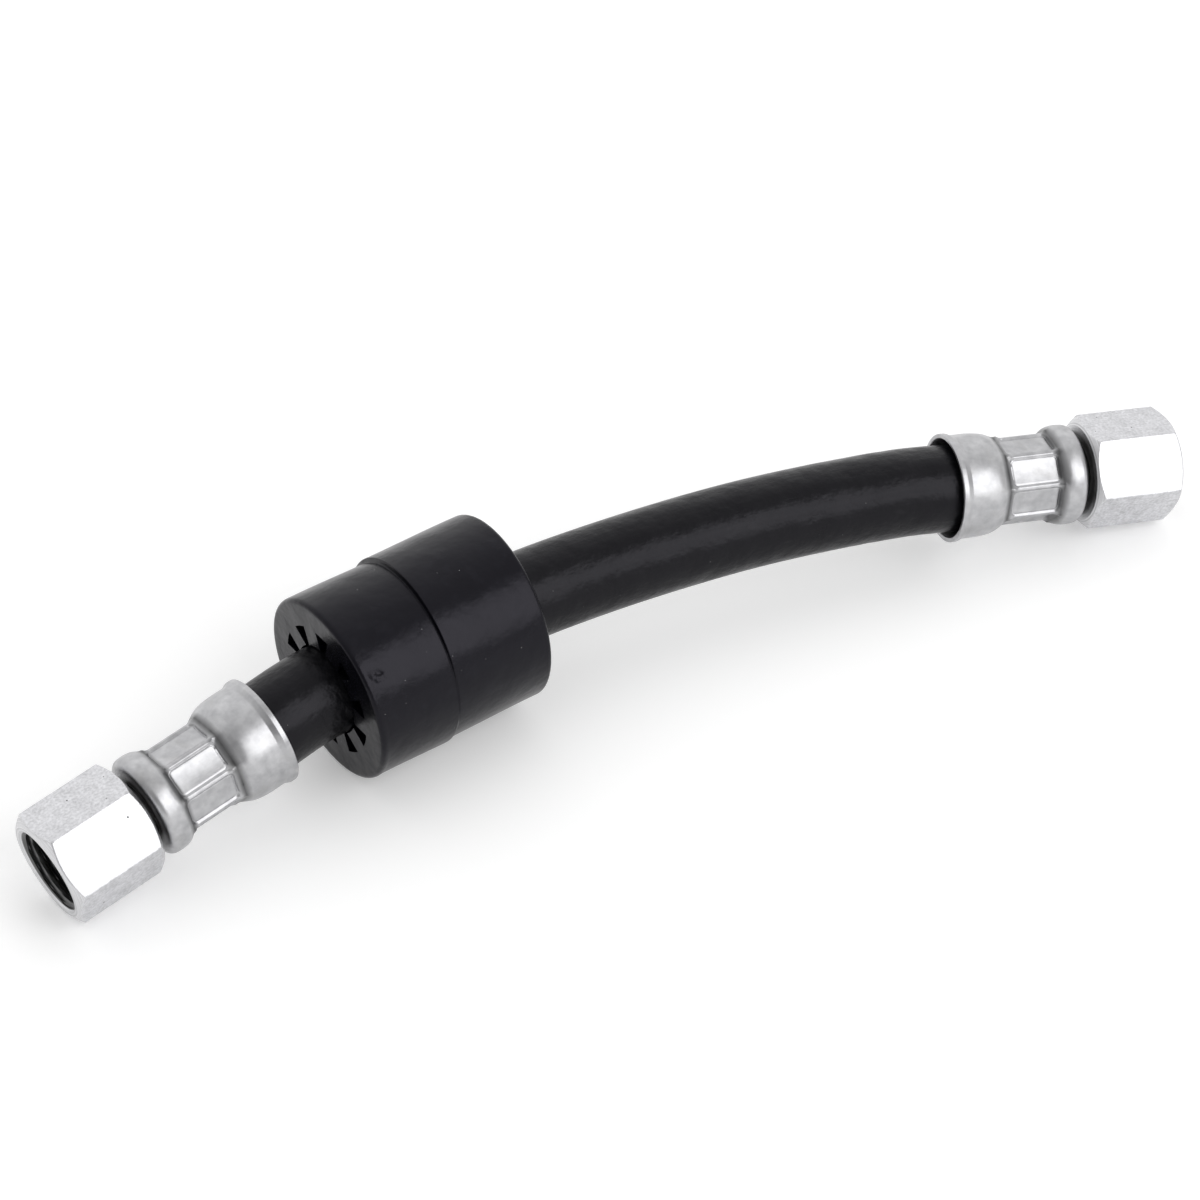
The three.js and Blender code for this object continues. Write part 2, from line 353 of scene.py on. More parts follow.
class Wire:
    """A socket in a node tree. Sums and products of wires and numbers add Math nodes."""

    def __init__(self, tree, socket):
        self.tree = tree
        self.socket = socket

    def maths(self, operation, *values):
        node = self.tree.nodes.new("ShaderNodeMath")
        node.operation = operation
        for socket, value in zip(node.inputs, values):
            connect(self.tree, socket, value)
        return Wire(self.tree, node.outputs[0])

    def __add__(self, other):
        return self.maths("ADD", self, other)

    def __sub__(self, other):
        return self.maths("SUBTRACT", self, other)

    def __rsub__(self, other):
        return self.maths("SUBTRACT", other, self)

    def __mul__(self, other):
        return self.maths("MULTIPLY", self, other)

    def __truediv__(self, other):
        return self.maths("DIVIDE", self, other)

    __radd__ = __add__
    __rmul__ = __mul__

    def root(self):
        return self.maths("SQRT", self)

    def size(self):
        return self.maths("ABSOLUTE", self)

    def below(self, level):
        return self.maths("LESS_THAN", self, level)

    def clipped(self):
        return self.maths("MINIMUM", self.maths("MAXIMUM", self, 0.0), 1.0)

    def between(self, low, high):
        """0 at low, 1 at high, and straight between."""
        return ((self - low) / (high - low)).clipped()


class Finish:
    """The node tree of a material, or of the world, while it is being built."""

    def __init__(self, owner):
        owner.use_nodes = True
        self.tree = owner.node_tree
        self.tree.nodes.clear()

    def node(self, kind, settings=None, out=None, **values):
        """Adds a node, with its settings first and then the values or wires of its sockets, and
        gives back its first output, or the one named out."""
        node = self.tree.nodes.new(kind)
        for name, value in (settings or {}).items():
            setattr(node, name, value)
        for name, value in values.items():
            sockets = [s for s in node.inputs if s.name == name.replace("_", " ") and s.enabled]
            connect(self.tree, sockets[0], value)
        outputs = [s for s in node.outputs if s.enabled and out in (None, s.name)]
        return Wire(self.tree, outputs[0]) if outputs else None

    def own_place(self):
        return self.node("ShaderNodeAttribute", {"attribute_name": "own"}, "Vector")

    def marks(self):
        return self.node("ShaderNodeAttribute", {"attribute_name": "marks"}, "Fac")

    def split(self, vector):
        """The X, Y and Z of a vector or the red, green and blue of a colour."""
        node = self.tree.nodes.new("ShaderNodeSeparateXYZ")
        connect(self.tree, node.inputs[0], vector)
        return [Wire(self.tree, output) for output in node.outputs]

    def from_axis(self, own):
        """How far a place is from the piece's own z axis, and how far along it."""
        x, y, z = self.split(own)
        return (x * x + y * y).root(), z

    def scaled(self, vector, factors):
        node = self.tree.nodes.new("ShaderNodeVectorMath")
        node.operation = "MULTIPLY"
        connect(self.tree, node.inputs[0], vector)
        connect(self.tree, node.inputs[1], factors)
        return Wire(self.tree, node.outputs[0])

    def clouds(self, vector, size, detail=2.0):
        """Noise from 0 to 1, with features about that size across."""
        return self.node("ShaderNodeTexNoise", Vector=vector, Scale=1 / size, Detail=detail)

    def specks(self, vector, spacing, radius, share):
        """1 in small dots and 0 elsewhere. About that share of the cells holds a dot."""
        far = self.node("ShaderNodeTexVoronoi", None, "Distance", Vector=vector, Scale=1 / spacing)
        cell = self.node("ShaderNodeTexVoronoi", None, "Color", Vector=vector, Scale=1 / spacing)
        return far.below(radius / spacing) * self.split(cell)[0].below(share)

    def mixed(self, factor, a, b):
        return self.node("ShaderNodeMix", {"data_type": "RGBA"}, "Result", Factor=factor, A=a, B=b)

    def relief(self, height, depth):
        """A bump of that depth in metres, for a height from 0 to 1."""
        return self.node("ShaderNodeBump", Height=height, Distance=depth)

    def surface(self, **values):
        shader = self.node("ShaderNodeBsdfPrincipled", **values)
        self.node("ShaderNodeOutputMaterial", Surface=shader)


def grey(level, blue=0.0):
    """A grey of that level, with its blue raised by that share."""
    return (level, level, level * (1 + blue), 1.0)


# Finishes


def total(shares, **features):
    """The even share of a look, plus each feature times its own share."""
    level = shares.get("even", 0.0)
    for name, feature in features.items():
        level = level + shares[name] * feature
    return level


rubber_ior = 1.3

hose_sheen = (0.9, 0.88, 0.97, 1.0)
hose_blacks = grey(0.001, 0.3), grey(0.003, 0.3)
hose_line_stretch = (1, 1, 0.03)
hose_line_size = 0.5 * mm
hose_wave_size = 3.5 * mm
hose_wave_detail = 3.0
hose_grain_size = 0.12 * mm
hose_dust = {"spacing": 1.5 * mm, "radius": 0.07 * mm, "share": 0.15}
hose_dust_grey = grey(0.15)
scuff_stretch = (1, 1, 0.4)
scuff_size = 1.6 * mm
scuff_detail = 4.0
scuff_range = 0.62, 0.8
scuff_share = 0.3
scuff_grey = grey(0.025, 0.05)
hose_roughness = {"even": 0.18, "lines": 0.1, "waves": 0.16, "dust": 0.3}
hose_relief = {"waves": 0.9, "lines": 0.05, "grain": 0.03}
hose_relief_depth = 0.36 * mm


def hose_rubber():
    """Black extruded rubber: satin, with faint lines along it, soft unevenness and some dust."""
    material = bpy.data.materials.new("hose_rubber")
    f = Finish(material)
    own = f.own_place()
    lines = f.clouds(f.scaled(own, hose_line_stretch), hose_line_size)
    waves = f.clouds(own, hose_wave_size, hose_wave_detail)
    grain = f.clouds(own, hose_grain_size)
    dust = f.specks(own, **hose_dust)
    scuffs = f.clouds(f.scaled(own, scuff_stretch), scuff_size, scuff_detail).between(*scuff_range)
    base = f.mixed(waves, *hose_blacks)
    base = f.mixed(scuffs * scuff_share, base, scuff_grey)
    f.surface(
        Base_Color=f.mixed(dust, base, hose_dust_grey),
        Roughness=total(hose_roughness, lines=lines, waves=waves, dust=dust),
        IOR=rubber_ior,
        Specular_Tint=hose_sheen,
        Normal=f.relief(total(hose_relief, waves=waves, lines=lines, grain=grain), hose_relief_depth),
    )
    return material


grommet_sheen = (0.9, 0.87, 1.0, 1.0)
grommet_blacks = grey(0.0008, 1.0), grey(0.0024, 0.8)
patch_size = 5 * mm
patch_detail = 3.0
mould_grain_size = 0.16 * mm
mould_grain_detail = 3.0
grommet_dust = {"spacing": 1.5 * mm, "radius": 0.075 * mm, "share": 0.4}
grommet_dust_grey = grey(0.22)
bloom_size = 2.2 * mm
bloom_detail = 4.0
bloom_range = 0.55, 0.8
bloom_share = 0.3
bloom_grey = grey(0.015, 0.3)
grommet_roughness = {"even": 0.15, "patches": 0.1, "grain": 0.08, "dust": 0.3}
grommet_relief = {"patches": 0.9, "grain": 0.06}
grommet_relief_depth = 0.24 * mm


def grommet_rubber():
    """Black moulded rubber: matte, with a fine mould grain, a cool sheen and white dust."""
    material = bpy.data.materials.new("grommet_rubber")
    f = Finish(material)
    own = f.own_place()
    patches = f.clouds(own, patch_size, patch_detail)
    grain = f.clouds(own, mould_grain_size, mould_grain_detail)
    dust = f.specks(own, **grommet_dust)
    bloom = f.clouds(own, bloom_size, bloom_detail).between(*bloom_range)
    base = f.mixed(patches, *grommet_blacks)
    base = f.mixed(bloom * bloom_share, base, bloom_grey)
    f.surface(
        Base_Color=f.mixed(dust, base, grommet_dust_grey),
        Roughness=total(grommet_roughness, patches=patches, grain=grain, dust=dust),
        IOR=rubber_ior,
        Specular_Tint=grommet_sheen,
        Normal=f.relief(total(grommet_relief, patches=patches, grain=grain), grommet_relief_depth),
    )
    return material


pressed_greys = grey(0.385, 0.03), grey(0.53, 0.02)
pressed_cloud_size = 1.8 * mm
pressed_cloud_detail = 4.0
pressed_cloud_range = 0.3, 0.7
drawn_stretch = (1, 1, 0.08)
drawn_size = 0.25 * mm
pressed_grain_size = 0.22 * mm
pressed_grain_detail = 3.0
stain_size = 3.5 * mm
stain_detail = 3.0
stain_range = 0.55, 0.75
stain_share = 0.4
stain_grey = (0.26, 0.255, 0.25, 1.0)
# Painted shade: grey bands in the base colour where the sheet is folded at both ends of the crimp
fold_shade_at_bell = crimp_start - 0.8 * mm
fold_shade_at_collar = crimp_end + 0.25 * mm
fold_shade_width = 1.0 * mm
fold_shade_grey = grey(0.07)
fold_shade_share = {"even": 0.5, "clouded": 0.7}
flange_shade_heights = ferrule_length - 0.25 * mm, ferrule_length - 0.05 * mm
flange_shade_radii = 6.3 * mm, 5.4 * mm
flange_shade_grey = grey(0.05)
pressed_roughness = {"even": 0.25, "clouded": 0.1, "grain": 0.1, "stain": 0.05}
pressed_relief = {"clouded": 0.45, "drawn": 0.25, "grain": 0.3}
pressed_relief_depth = 0.026 * mm


def pressed_zinc():
    """Zinc plate on pressed sheet steel: satin, clouded, with faint lines from drawing, painted
    shade in the creases at both ends of the crimp, and painted shade on the flange in the gap
    behind the nut."""
    material = bpy.data.materials.new("ferrule_zinc")
    f = Finish(material)
    own = f.own_place()
    clouded = f.clouds(own, pressed_cloud_size, pressed_cloud_detail)
    drawn = f.clouds(f.scaled(own, drawn_stretch), drawn_size)
    grain = f.clouds(own, pressed_grain_size, pressed_grain_detail)
    stain = f.clouds(own, stain_size, stain_detail).between(*stain_range)
    base = f.mixed(clouded.between(*pressed_cloud_range), *pressed_greys)
    base = f.mixed(stain * stain_share, base, stain_grey)
    across, height = f.from_axis(own)
    # Painted shade: the base is greyed in bands at both ends of the crimp, where the sheet folds
    fold_shades = (1 - (height - fold_shade_at_bell).size() / fold_shade_width).clipped()
    fold_shades = fold_shades + (1 - (height - fold_shade_at_collar).size() / fold_shade_width).clipped()
    base = f.mixed(fold_shades * total(fold_shade_share, clouded=clouded).clipped(), base, fold_shade_grey)
    # Painted shade: the flange in the gap behind the nut is given a near-black base colour
    flange_gap_shade = height.between(*flange_shade_heights) * across.between(*flange_shade_radii)
    f.surface(
        Base_Color=f.mixed(flange_gap_shade, base, flange_shade_grey),
        Metallic=1.0,
        Roughness=total(pressed_roughness, clouded=clouded, grain=grain, stain=stain),
        Normal=f.relief(
            total(pressed_relief, clouded=clouded, drawn=drawn, grain=grain), pressed_relief_depth
        ),
    )
    return material


flat_greys = grey(0.44, 0.03), grey(0.77, 0.03)
turned_greys = grey(0.45, 0.02), grey(0.8, 0.02)
# Painted shade for the threaded bore and the inner ring of the back face in the gap
thread_shade_grey = grey(0.13)
pit_grey = grey(0.03)
speckle_size = 0.5 * mm
speckle_detail = 4.0
speckle_range = 0.35, 0.65
nut_cloud_size = 2.2 * mm
nut_cloud_detail = 4.0
nut_cloud_range = 0.3, 0.7
pits_on_flats = {"spacing": 1.6 * mm, "radius": 0.14 * mm, "share": 0.2}
nut_ring_size = 0.12 * mm
nut_ring_range = 0.3, 0.7
flat_shares = {"speckle": 0.6, "clouded": 0.4}
nut_roughness = {"even": 0.28, "speckle": 0.12, "clouded": 0.08, "pits": 0.5}
flat_relief = {"speckle": 0.35, "clouded": 0.5}
ring_relief = 0.3
nut_relief_depth = 0.02 * mm


def nut_zinc():
    """Zinc plate on a machined hexagon: the flats speckled and pitted, the rest turned. The
    marks are 0 on the flats, 1 on turned faces, and 2 where shade is painted on the thread and
    in the gap."""
    material = bpy.data.materials.new("nut_zinc")
    f = Finish(material)
    own = f.own_place()
    turned = f.marks().clipped()
    # Painted shade: marks of 2 turn the thread and the gap's inner ring to a low grey
    thread_and_gap_shade = (f.marks() - 1).clipped()
    across, height = f.from_axis(own)
    rings = f.clouds(f.node("ShaderNodeCombineXYZ", X=across, Y=height), nut_ring_size)
    speckle = f.clouds(own, speckle_size, speckle_detail).between(*speckle_range)
    clouded = f.clouds(own, nut_cloud_size, nut_cloud_detail).between(*nut_cloud_range)
    pits = f.specks(own, **pits_on_flats) * (1 - turned)
    flats = f.mixed(total(flat_shares, speckle=speckle, clouded=clouded), *flat_greys)
    base = f.mixed(turned, flats, f.mixed(rings.between(*nut_ring_range), *turned_greys))
    base = f.mixed(thread_and_gap_shade, base, thread_shade_grey)
    raised = (1 - turned) * total(flat_relief, speckle=speckle, clouded=clouded)
    raised = raised + turned * rings * ring_relief - pits
    f.surface(
        Base_Color=f.mixed(pits, base, pit_grey),
        Metallic=1.0,
        Roughness=total(nut_roughness, speckle=speckle, clouded=clouded, pits=pits),
        Normal=f.relief(raised, nut_relief_depth),
    )
    return material


# Low greys: painted shade, as the nipple shows only in the gaps behind the nuts
nipple_shade_greys = grey(0.14, 0.02), grey(0.2, 0.02)
nipple_ring_size = 0.1 * mm
nipple_cloud_size = 1.5 * mm
nipple_cloud_detail = 3.0
nipple_roughness = {"even": 0.22, "rings": 0.12, "clouded": 0.08}
nipple_relief = {"rings": 0.6, "clouded": 0.4}
nipple_relief_depth = 0.015 * mm


def nipple_zinc():
    """Zinc plate on turned steel, with fine tool marks round it. Its base colour is held low
    as painted shade, as it sits in the gap behind each nut.
    """
    material = bpy.data.materials.new("nipple_zinc")
    f = Finish(material)
    own = f.own_place()
    across, height = f.from_axis(own)
    rings = f.clouds(f.node("ShaderNodeCombineXYZ", X=across, Y=height), nipple_ring_size)
    clouded = f.clouds(own, nipple_cloud_size, nipple_cloud_detail)
    f.surface(
        Base_Color=f.mixed(clouded, *nipple_shade_greys),
        Metallic=1.0,
        Roughness=total(nipple_roughness, rings=rings, clouded=clouded),
        Normal=f.relief(total(nipple_relief, rings=rings, clouded=clouded), nipple_relief_depth),
    )
    return material


# Hose

hose_columns = 96
hose_end_rounding = 0.3 * mm
hose_step_rounding = 0.8 * mm
hose_bore_rounding = 0.2 * mm
squeeze_start = hose_end - crimp_start + 2 * clearance
squeeze_end = squeeze_start + crimp_shoulder
outside_tolerance = 0.1 * mm
uneven_height = 0.045 * mm
uneven_size = 9 * mm
uneven_stretch = (1, 1, 0.6)
uneven_seed = 3.0
wrinkle_place = centreline.length - 34 * mm
wrinkle_width = 9 * mm
wrinkle_height = 0.05 * mm
wrinkle_size = 2.6 * mm
wrinkle_stretch = (0.6, 0.6, 1)
wrinkle_seed = 8.0


def hose():
    angles = full_turn(hose_columns)
    length = centreline.length
    bore = hose_bore / 2
    rows = section(
        [
            corner(squeezed_radius, 0, hose_end_rounding, rows=8),
            corner(squeezed_radius, squeeze_start, hose_step_rounding, rows=4),
            corner(hose_radius, squeeze_end, hose_step_rounding, rows=230),
            corner(hose_radius, length - squeeze_end, hose_step_rounding, rows=4),
            corner(squeezed_radius, length - squeeze_start, hose_step_rounding, rows=8),
            corner(squeezed_radius, length, hose_end_rounding),
            corner(bore, length, hose_bore_rounding, rows=60),
            corner(bore, 0, hose_bore_rounding),
        ],
        hose_columns,
    )
    straight = spun(rows, angles)
    height = straight[..., 2]
    outside = rows[..., 0] > hose_radius - outside_tolerance
    uneven = uneven_height * lumps(straight * uneven_stretch, uneven_size, uneven_seed)
    wrinkled = np.exp(-(((height - wrinkle_place) / wrinkle_width) ** 2))
    wrinkles = lumps(straight * wrinkle_stretch, wrinkle_size, wrinkle_seed)
    uneven += wrinkle_height * wrinkled * wrinkles
    grown = 1 + np.where(outside, uneven / hose_radius, 0)
    swollen = straight * np.stack([grown, grown, np.ones_like(grown)], axis=-1)
    return piece("hose", centreline.bend(swollen), straight, hose_rubber())


# Grommet

slot_floor_columns = 9
slot_wall_columns = 6
rib_tip_columns = 8
rib_tip_spread = 0.35
bore_rows = 40
face_rows = 6
grommet_rounding = 0.7 * mm
parting_groove = 0.12 * mm
parting_width = 0.18 * mm
parting_edge = 0.1 * mm
parting_bottom = 0.05 * mm
parting_fade_from = math.pi / 4
parting_fade = 1.75, 2.1
parting_faded = 0.85
rim_place = 1.0 * mm
rim_width = 0.35 * mm
rim_height = 0.09 * mm
pip_place = -12 * mm
pip_angle = math.radians(138)
pip_radius = 1.0 * mm
pip_depth = 0.26 * mm
pip_unevenness = 1.5
pip_lump_size = 0.7 * mm
pip_seed = 5.0
inward = 1.5 * mm
inward_rows = 5


def star_and_rim():
    """The bore's outline as (x, y) points, ten ribs that grip the hose and a slot between every
    two, and for each point the angle at which its column meets the outside."""
    inner = hose_radius + clearance
    outer = slot_diameter / 2
    tip = math.asin(rib_width / 2 / inner)
    root = math.asin(rib_width / 2 / outer)
    pitch = 2 * math.pi / slot_count
    rim_tip = rib_tip_spread * tip
    rim_root = math.asin(rib_width / 2 / (grommet_diameter / 2))
    tips = np.linspace(0, tip, rib_tip_columns, endpoint=False)
    walls = np.linspace(0, 1, slot_wall_columns, endpoint=False)
    floors = np.linspace(root, pitch / 2, slot_floor_columns)
    wall_radius = inner + (outer - inner) * walls
    radius = np.concatenate([np.full_like(tips, inner), wall_radius, np.full_like(floors, outer)])
    angle = np.concatenate([tips, np.arcsin(rib_width / 2 / wall_radius), floors])
    rim = np.concatenate(
        [
            tips / tip * rim_tip,
            rim_tip + walls * (rim_root - rim_tip),
            rim_root + (floors - root) / (pitch / 2 - root) * (pitch / 2 - rim_root),
        ]
    )
    radius = np.concatenate([radius, radius[-2:0:-1]])
    angle = np.concatenate([angle, pitch - angle[-2:0:-1]])
    rim = np.concatenate([rim, pitch - rim[-2:0:-1]])
    first_rib = math.pi / 2 - pitch / 2
    turns = first_rib + pitch * np.arange(slot_count)[:, None]
    around = (turns + angle).ravel()
    radius = np.tile(radius, slot_count)
    star = np.stack([radius * np.cos(around), radius * np.sin(around)], axis=-1)
    return star, (turns + rim).ravel()


def around_axis(radius, angles, height):
    return np.stack([radius * np.cos(angles), radius * np.sin(angles), height], axis=-1)


def grommet_outside(rim):
    """The outside's points: a parting groove that fades out, a thin flash near the front, and a
    pip. The back half is wider and sits higher, as in the photo's mould."""
    radius = grommet_diameter / 2
    front = -grommet_front
    outline = section(
        [
            corner(radius, front, grommet_rounding, rows=44),
            corner(radius, -parting_width, parting_edge, rows=3),
            corner(radius - parting_groove, 0, parting_bottom, rows=3),
            corner(radius, parting_width, parting_edge, rows=50),
            corner(radius, grommet_back, grommet_rounding, rows=5),
            corner(radius - inward, grommet_back),
            corner(radius - inward, front, rows=inward_rows),
        ],
        len(rim),
    )[: -(inward_rows + 1)]
    outward, height = outline[..., 0], outline[..., 1]
    groove = radius - outward
    near_line = np.abs(height) < 2 * parting_width
    past_fade = np.mod(rim - parting_fade_from, 2 * math.pi)
    open_groove = 1 - parting_faded * smooth(past_fade, *parting_fade)
    outward = np.where(near_line, radius - groove * open_groove, outward)
    flash = np.exp(-(((height - front - rim_place) / rim_width) ** 2))
    outward = outward + rim_height * flash * (1 - np.sin(rim)) / 2
    aside = radius * (np.mod(rim - pip_angle + math.pi, 2 * math.pi) - math.pi)
    from_pip = np.hypot(aside, height - pip_place) / pip_radius
    unevenness = lumps(around_axis(outward, rim, height), pip_lump_size, pip_seed)
    outward = outward - pip_depth * np.exp(-(from_pip**2)) * (1 + pip_unevenness * unevenness)
    in_back = smooth(height, -parting_width, parting_width)
    outer = around_axis(outward + back_extra / 2 * in_back, rim, height)
    outer[..., 1] += mould_step * in_back - front_sink
    return outer


def grommet():
    star, rim = star_and_rim()
    outer = grommet_outside(rim)
    depths = np.linspace(grommet_back, -grommet_front, bore_rows)
    inner = np.empty((len(depths), len(rim), 3))
    inner[..., :2] = star
    inner[..., 2] = depths[:, None]
    shares = np.linspace(0, 1, face_rows + 2)[1:-1, None, None]
    back_face = outer[-1] + (inner[0] - outer[-1]) * shares
    front_face = inner[-1] + (outer[0] - inner[-1]) * shares
    straight = np.concatenate([outer, back_face, inner, front_face])
    placed = straight + np.array([0, 0, hose_end + grommet_place + grommet_front])
    return piece("grommet", centreline.bend(placed), straight, grommet_rubber())


# Ferrules

ferrule_columns = 400
mouth_edge = 0.2 * mm
lip_length = 0.9 * mm
lip_rounding = 0.5 * mm
bell_lead = 0.6 * mm
bell_lead_rounding = 0.7 * mm
bell_crown = 2.2 * mm
bell_rounding = 14 * mm
bell_drop = 0.35 * mm
bell_end_rounding = 4.5 * mm
rib_flat = 7.03 * mm
rib_top = 7.5 * mm
rib_start_reach = 0.2 * mm
rib_start_rounding = 1.4 * mm
rib_end_reach = 0.1 * mm
rib_end_rounding = 0.6 * mm
rib_half_width = 0.42 * mm
bead_start = 1.0 * mm
bead_start_drop = 0.25 * mm
bead_start_rounding = 1.8 * mm
bead_crown = 2.3 * mm
bead_rounding = 9 * mm
bead_end_drop = 0.15 * mm
bead_end_rounding = 1.4 * mm
flange_edge = 0.15 * mm
flange_back_edge = 0.1 * mm
inside_rounding = 0.5 * mm
inside_step_rounding = 0.3 * mm
inside_bead_start = 1.1 * mm
panel_skin = 0.75
panel_corner = 0.9 * mm
panel_edge = 0.1 * mm
panel_hollow = 0.16 * mm
panel_groove = 0.09 * mm
panel_groove_width = 0.16 * mm
ear_reach = 0.1 * mm
ear_height = 0.34 * mm
ear_radius = 0.5 * mm


def press_panels(rows, from_face):
    """Presses the eight die faces into the crimp and raises the small ears at the ribs' ends."""
    radius, height = rows[..., 0], rows[..., 1]
    outside = radius > crimp_inside + panel_skin * ferrule_wall
    aside = np.abs(crimp_face * np.tan(from_face))
    half_side = crimp_face * math.tan(math.pi / crimp_sides)
    half_width = half_side - rib_half_width
    half_length = crimp_length / 2
    past_side = aside - half_width + panel_corner
    past_end = np.abs(height - (crimp_start + crimp_end) / 2) - half_length + panel_corner
    beyond = np.hypot(np.maximum(past_side, 0), np.maximum(past_end, 0))
    edge = beyond + np.minimum(np.maximum(past_side, past_end), 0) - panel_corner
    hollow = panel_hollow * (1 - (aside / half_width) ** 2)
    face = (crimp_face - hollow) / np.cos(from_face)
    share = 1 - smooth(edge, -panel_edge, panel_edge)
    pressed = radius + (np.minimum(radius, face) - radius) * share
    pressed = pressed - panel_groove * np.exp(-((edge / panel_groove_width + 1) ** 2))
    for end in (crimp_start - ear_reach, crimp_end + ear_reach):
        away = np.hypot(aside - half_side, height - end) / ear_radius
        pressed = pressed + ear_height * np.exp(-(away**2))
    return np.stack([np.where(outside, pressed, radius), height], axis=-1)


def ferrule(fitting, finish):
    angles = full_turn(ferrule_columns)
    side = 2 * math.pi / crimp_sides
    from_face = np.mod(angles, side) - side / 2
    ribs = np.minimum(rib_flat / np.cos(from_face), rib_top)
    bell, collar, mouth = bell_diameter / 2, collar_diameter / 2, mouth_diameter / 2
    bell_inside, collar_inside = bell - ferrule_wall, collar - ferrule_wall
    bell_end = crimp_start - crimp_shoulder
    flange = groove_radius + clearance
    rows = section(
        [
            corner(mouth, 0, mouth_edge, rows=2),
            corner(mouth, lip_length, lip_rounding, rows=2),
            corner(bell, mouth_flare - bell_lead, bell_lead_rounding, rows=4),
            corner(bell, bell_end - bell_crown, bell_rounding, rows=3),
            corner(bell - bell_drop, bell_end, bell_end_rounding, rows=4),
            corner(ribs, crimp_start - rib_start_reach, rib_start_rounding, rows=56),
            corner(ribs, crimp_end - rib_end_reach, rib_end_rounding, rows=3),
            corner(collar - bead_start_drop, crimp_end + bead_start, bead_start_rounding, rows=2),
            corner(collar, crimp_end + bead_crown, bead_rounding, rows=2),
            corner(collar - bead_end_drop, ferrule_length, bead_end_rounding, rows=3),
            corner(flange, ferrule_length, flange_edge),
            corner(flange, ferrule_inside, flange_back_edge, rows=2),
            corner(collar_inside, ferrule_inside, inside_rounding, rows=2),
            corner(collar_inside, crimp_end + inside_bead_start, inside_step_rounding, rows=2),
            corner(crimp_inside, crimp_end, inside_step_rounding, rows=4),
            corner(crimp_inside, crimp_start, inside_step_rounding, rows=2),
            corner(bell_inside, bell_end, inside_rounding, rows=4),
            corner(bell_inside, mouth_flare, inside_rounding, rows=2),
            corner(mouth - mouth_wall, 0, mouth_edge),
        ],
        ferrule_columns,
    )
    straight = spun(press_panels(rows, from_face), angles)
    placed = fitting_place(fitting)(turned_about_z(straight, fitting["crimp_turn"]))
    return piece("ferrule_" + fitting["name"], placed, straight, finish)


# Nipples

nipple_columns = 96
first_barb = 0.8 * mm
barb_rise = 0.75 * barb_pitch
barb_end = 0.78 * barb_pitch
barb_edge = 0.05 * mm
turned_edge = 0.1 * mm
neck_edge = 0.15 * mm
head_edge = 0.2 * mm
nose_edge = 0.25 * mm


def nipple(fitting, finish):
    bore, root, nose = nipple_bore / 2, tail_root / 2, nose_diameter / 2
    barb = hose_bore / 2 - clearance
    neck_collar_end = neck_collar_start + neck_collar
    seat = nut_start + nut_back_wall - (nut_hole - neck_radius) + clearance * math.sqrt(2)
    head = seat + head_radius - neck_radius
    cone = head + head_length
    tip = cone + (head_radius - nose) / math.tan(nose_angle)
    corners = [
        corner(bore, tail_tip, turned_edge),
        corner(root, tail_tip, turned_edge),
    ]
    for i in range(barb_count):
        start = tail_tip + first_barb + i * barb_pitch
        corners += [
            corner(root, start, rows=2),
            corner(barb, start + barb_rise, barb_edge),
            corner(root, start + barb_end),
        ]
    corners += [
        corner(root, neck_collar_start, turned_edge),
        corner(neck_radius, neck_collar_start, turned_edge),
        corner(neck_radius, neck_collar_end, turned_edge),
        corner(groove_radius, neck_collar_end, turned_edge),
        corner(groove_radius, ferrule_length + clearance, turned_edge),
        corner(neck_radius, ferrule_length + clearance, neck_edge, rows=3),
        corner(neck_radius, seat, head_edge, rows=2),
        corner(head_radius, head, head_edge, rows=4),
        corner(head_radius, cone, head_edge, rows=8),
        corner(nose, tip, nose_edge),
        corner(bore, tip, nose_edge, rows=30),
    ]
    straight = spun(section(corners, nipple_columns), full_turn(nipple_columns))
    placed = fitting_place(fitting)(straight)
    return piece("nipple_" + fitting["name"], placed, straight, finish)


# Nuts

nut_columns = 360
thread_rows_per_turn = 12
thread_start = 0.1 * mm
thread_half_groove = 0.3125
thread_steepness = 1.25
relief_length = 6.5 * mm
relief_rounding = 0.2 * mm
edge_sharpness = 140
nut_edge = 0.1 * mm
nut_mouth_edge = 0.08 * mm
back_corner_rounding = 0.25 * mm
front_corner_rounding = 0.35 * mm
flat_tolerance = 0.002 * mm
thread_shade_start = 0.3 * mm
gap_shade_radii = 5.5 * mm, 6.0 * mm
gap_shade_height = 0.02 * mm


def hexagon(angles):
    """The radius of the hexagon at each angle, its six edges slightly rounded. Corners lie at 0."""
    from_corner = np.mod(angles + math.pi / 6, math.pi / 3) - math.pi / 6
    near = np.cos(math.pi / 6 - np.abs(from_corner))
    far = np.cos(math.pi / 6 + np.abs(from_corner))
    return nut_flats / 2 / (near**edge_sharpness + far**edge_sharpness) ** (1 / edge_sharpness)


def thread_corners(angles):
    """Corners down the threaded bore, from the countersink to the relief behind the thread."""
    minor, depth = thread_bore / 2, (thread_diameter - thread_bore) / 2
    countersink_end = nut_length - (thread_entry / 2 - minor)
    start = nut_length - thread_start
    turns = (start - relief_length) / thread_pitch
    made = []
    for height in np.linspace(start, relief_length, round(turns * thread_rows_per_turn)):
        phase = np.mod(height / thread_pitch - angles / (2 * math.pi), 1)
        into_groove = 1 - np.abs(phase - 0.5) / thread_half_groove
        groove = np.clip(into_groove * thread_steepness, 0, 1)
        fade = smooth(height, relief_length, relief_length + thread_pitch)
        cut = minor + depth * groove * fade
        made.append(corner(np.maximum(cut, minor + max(0.0, height - countersink_end)), height))
    return made


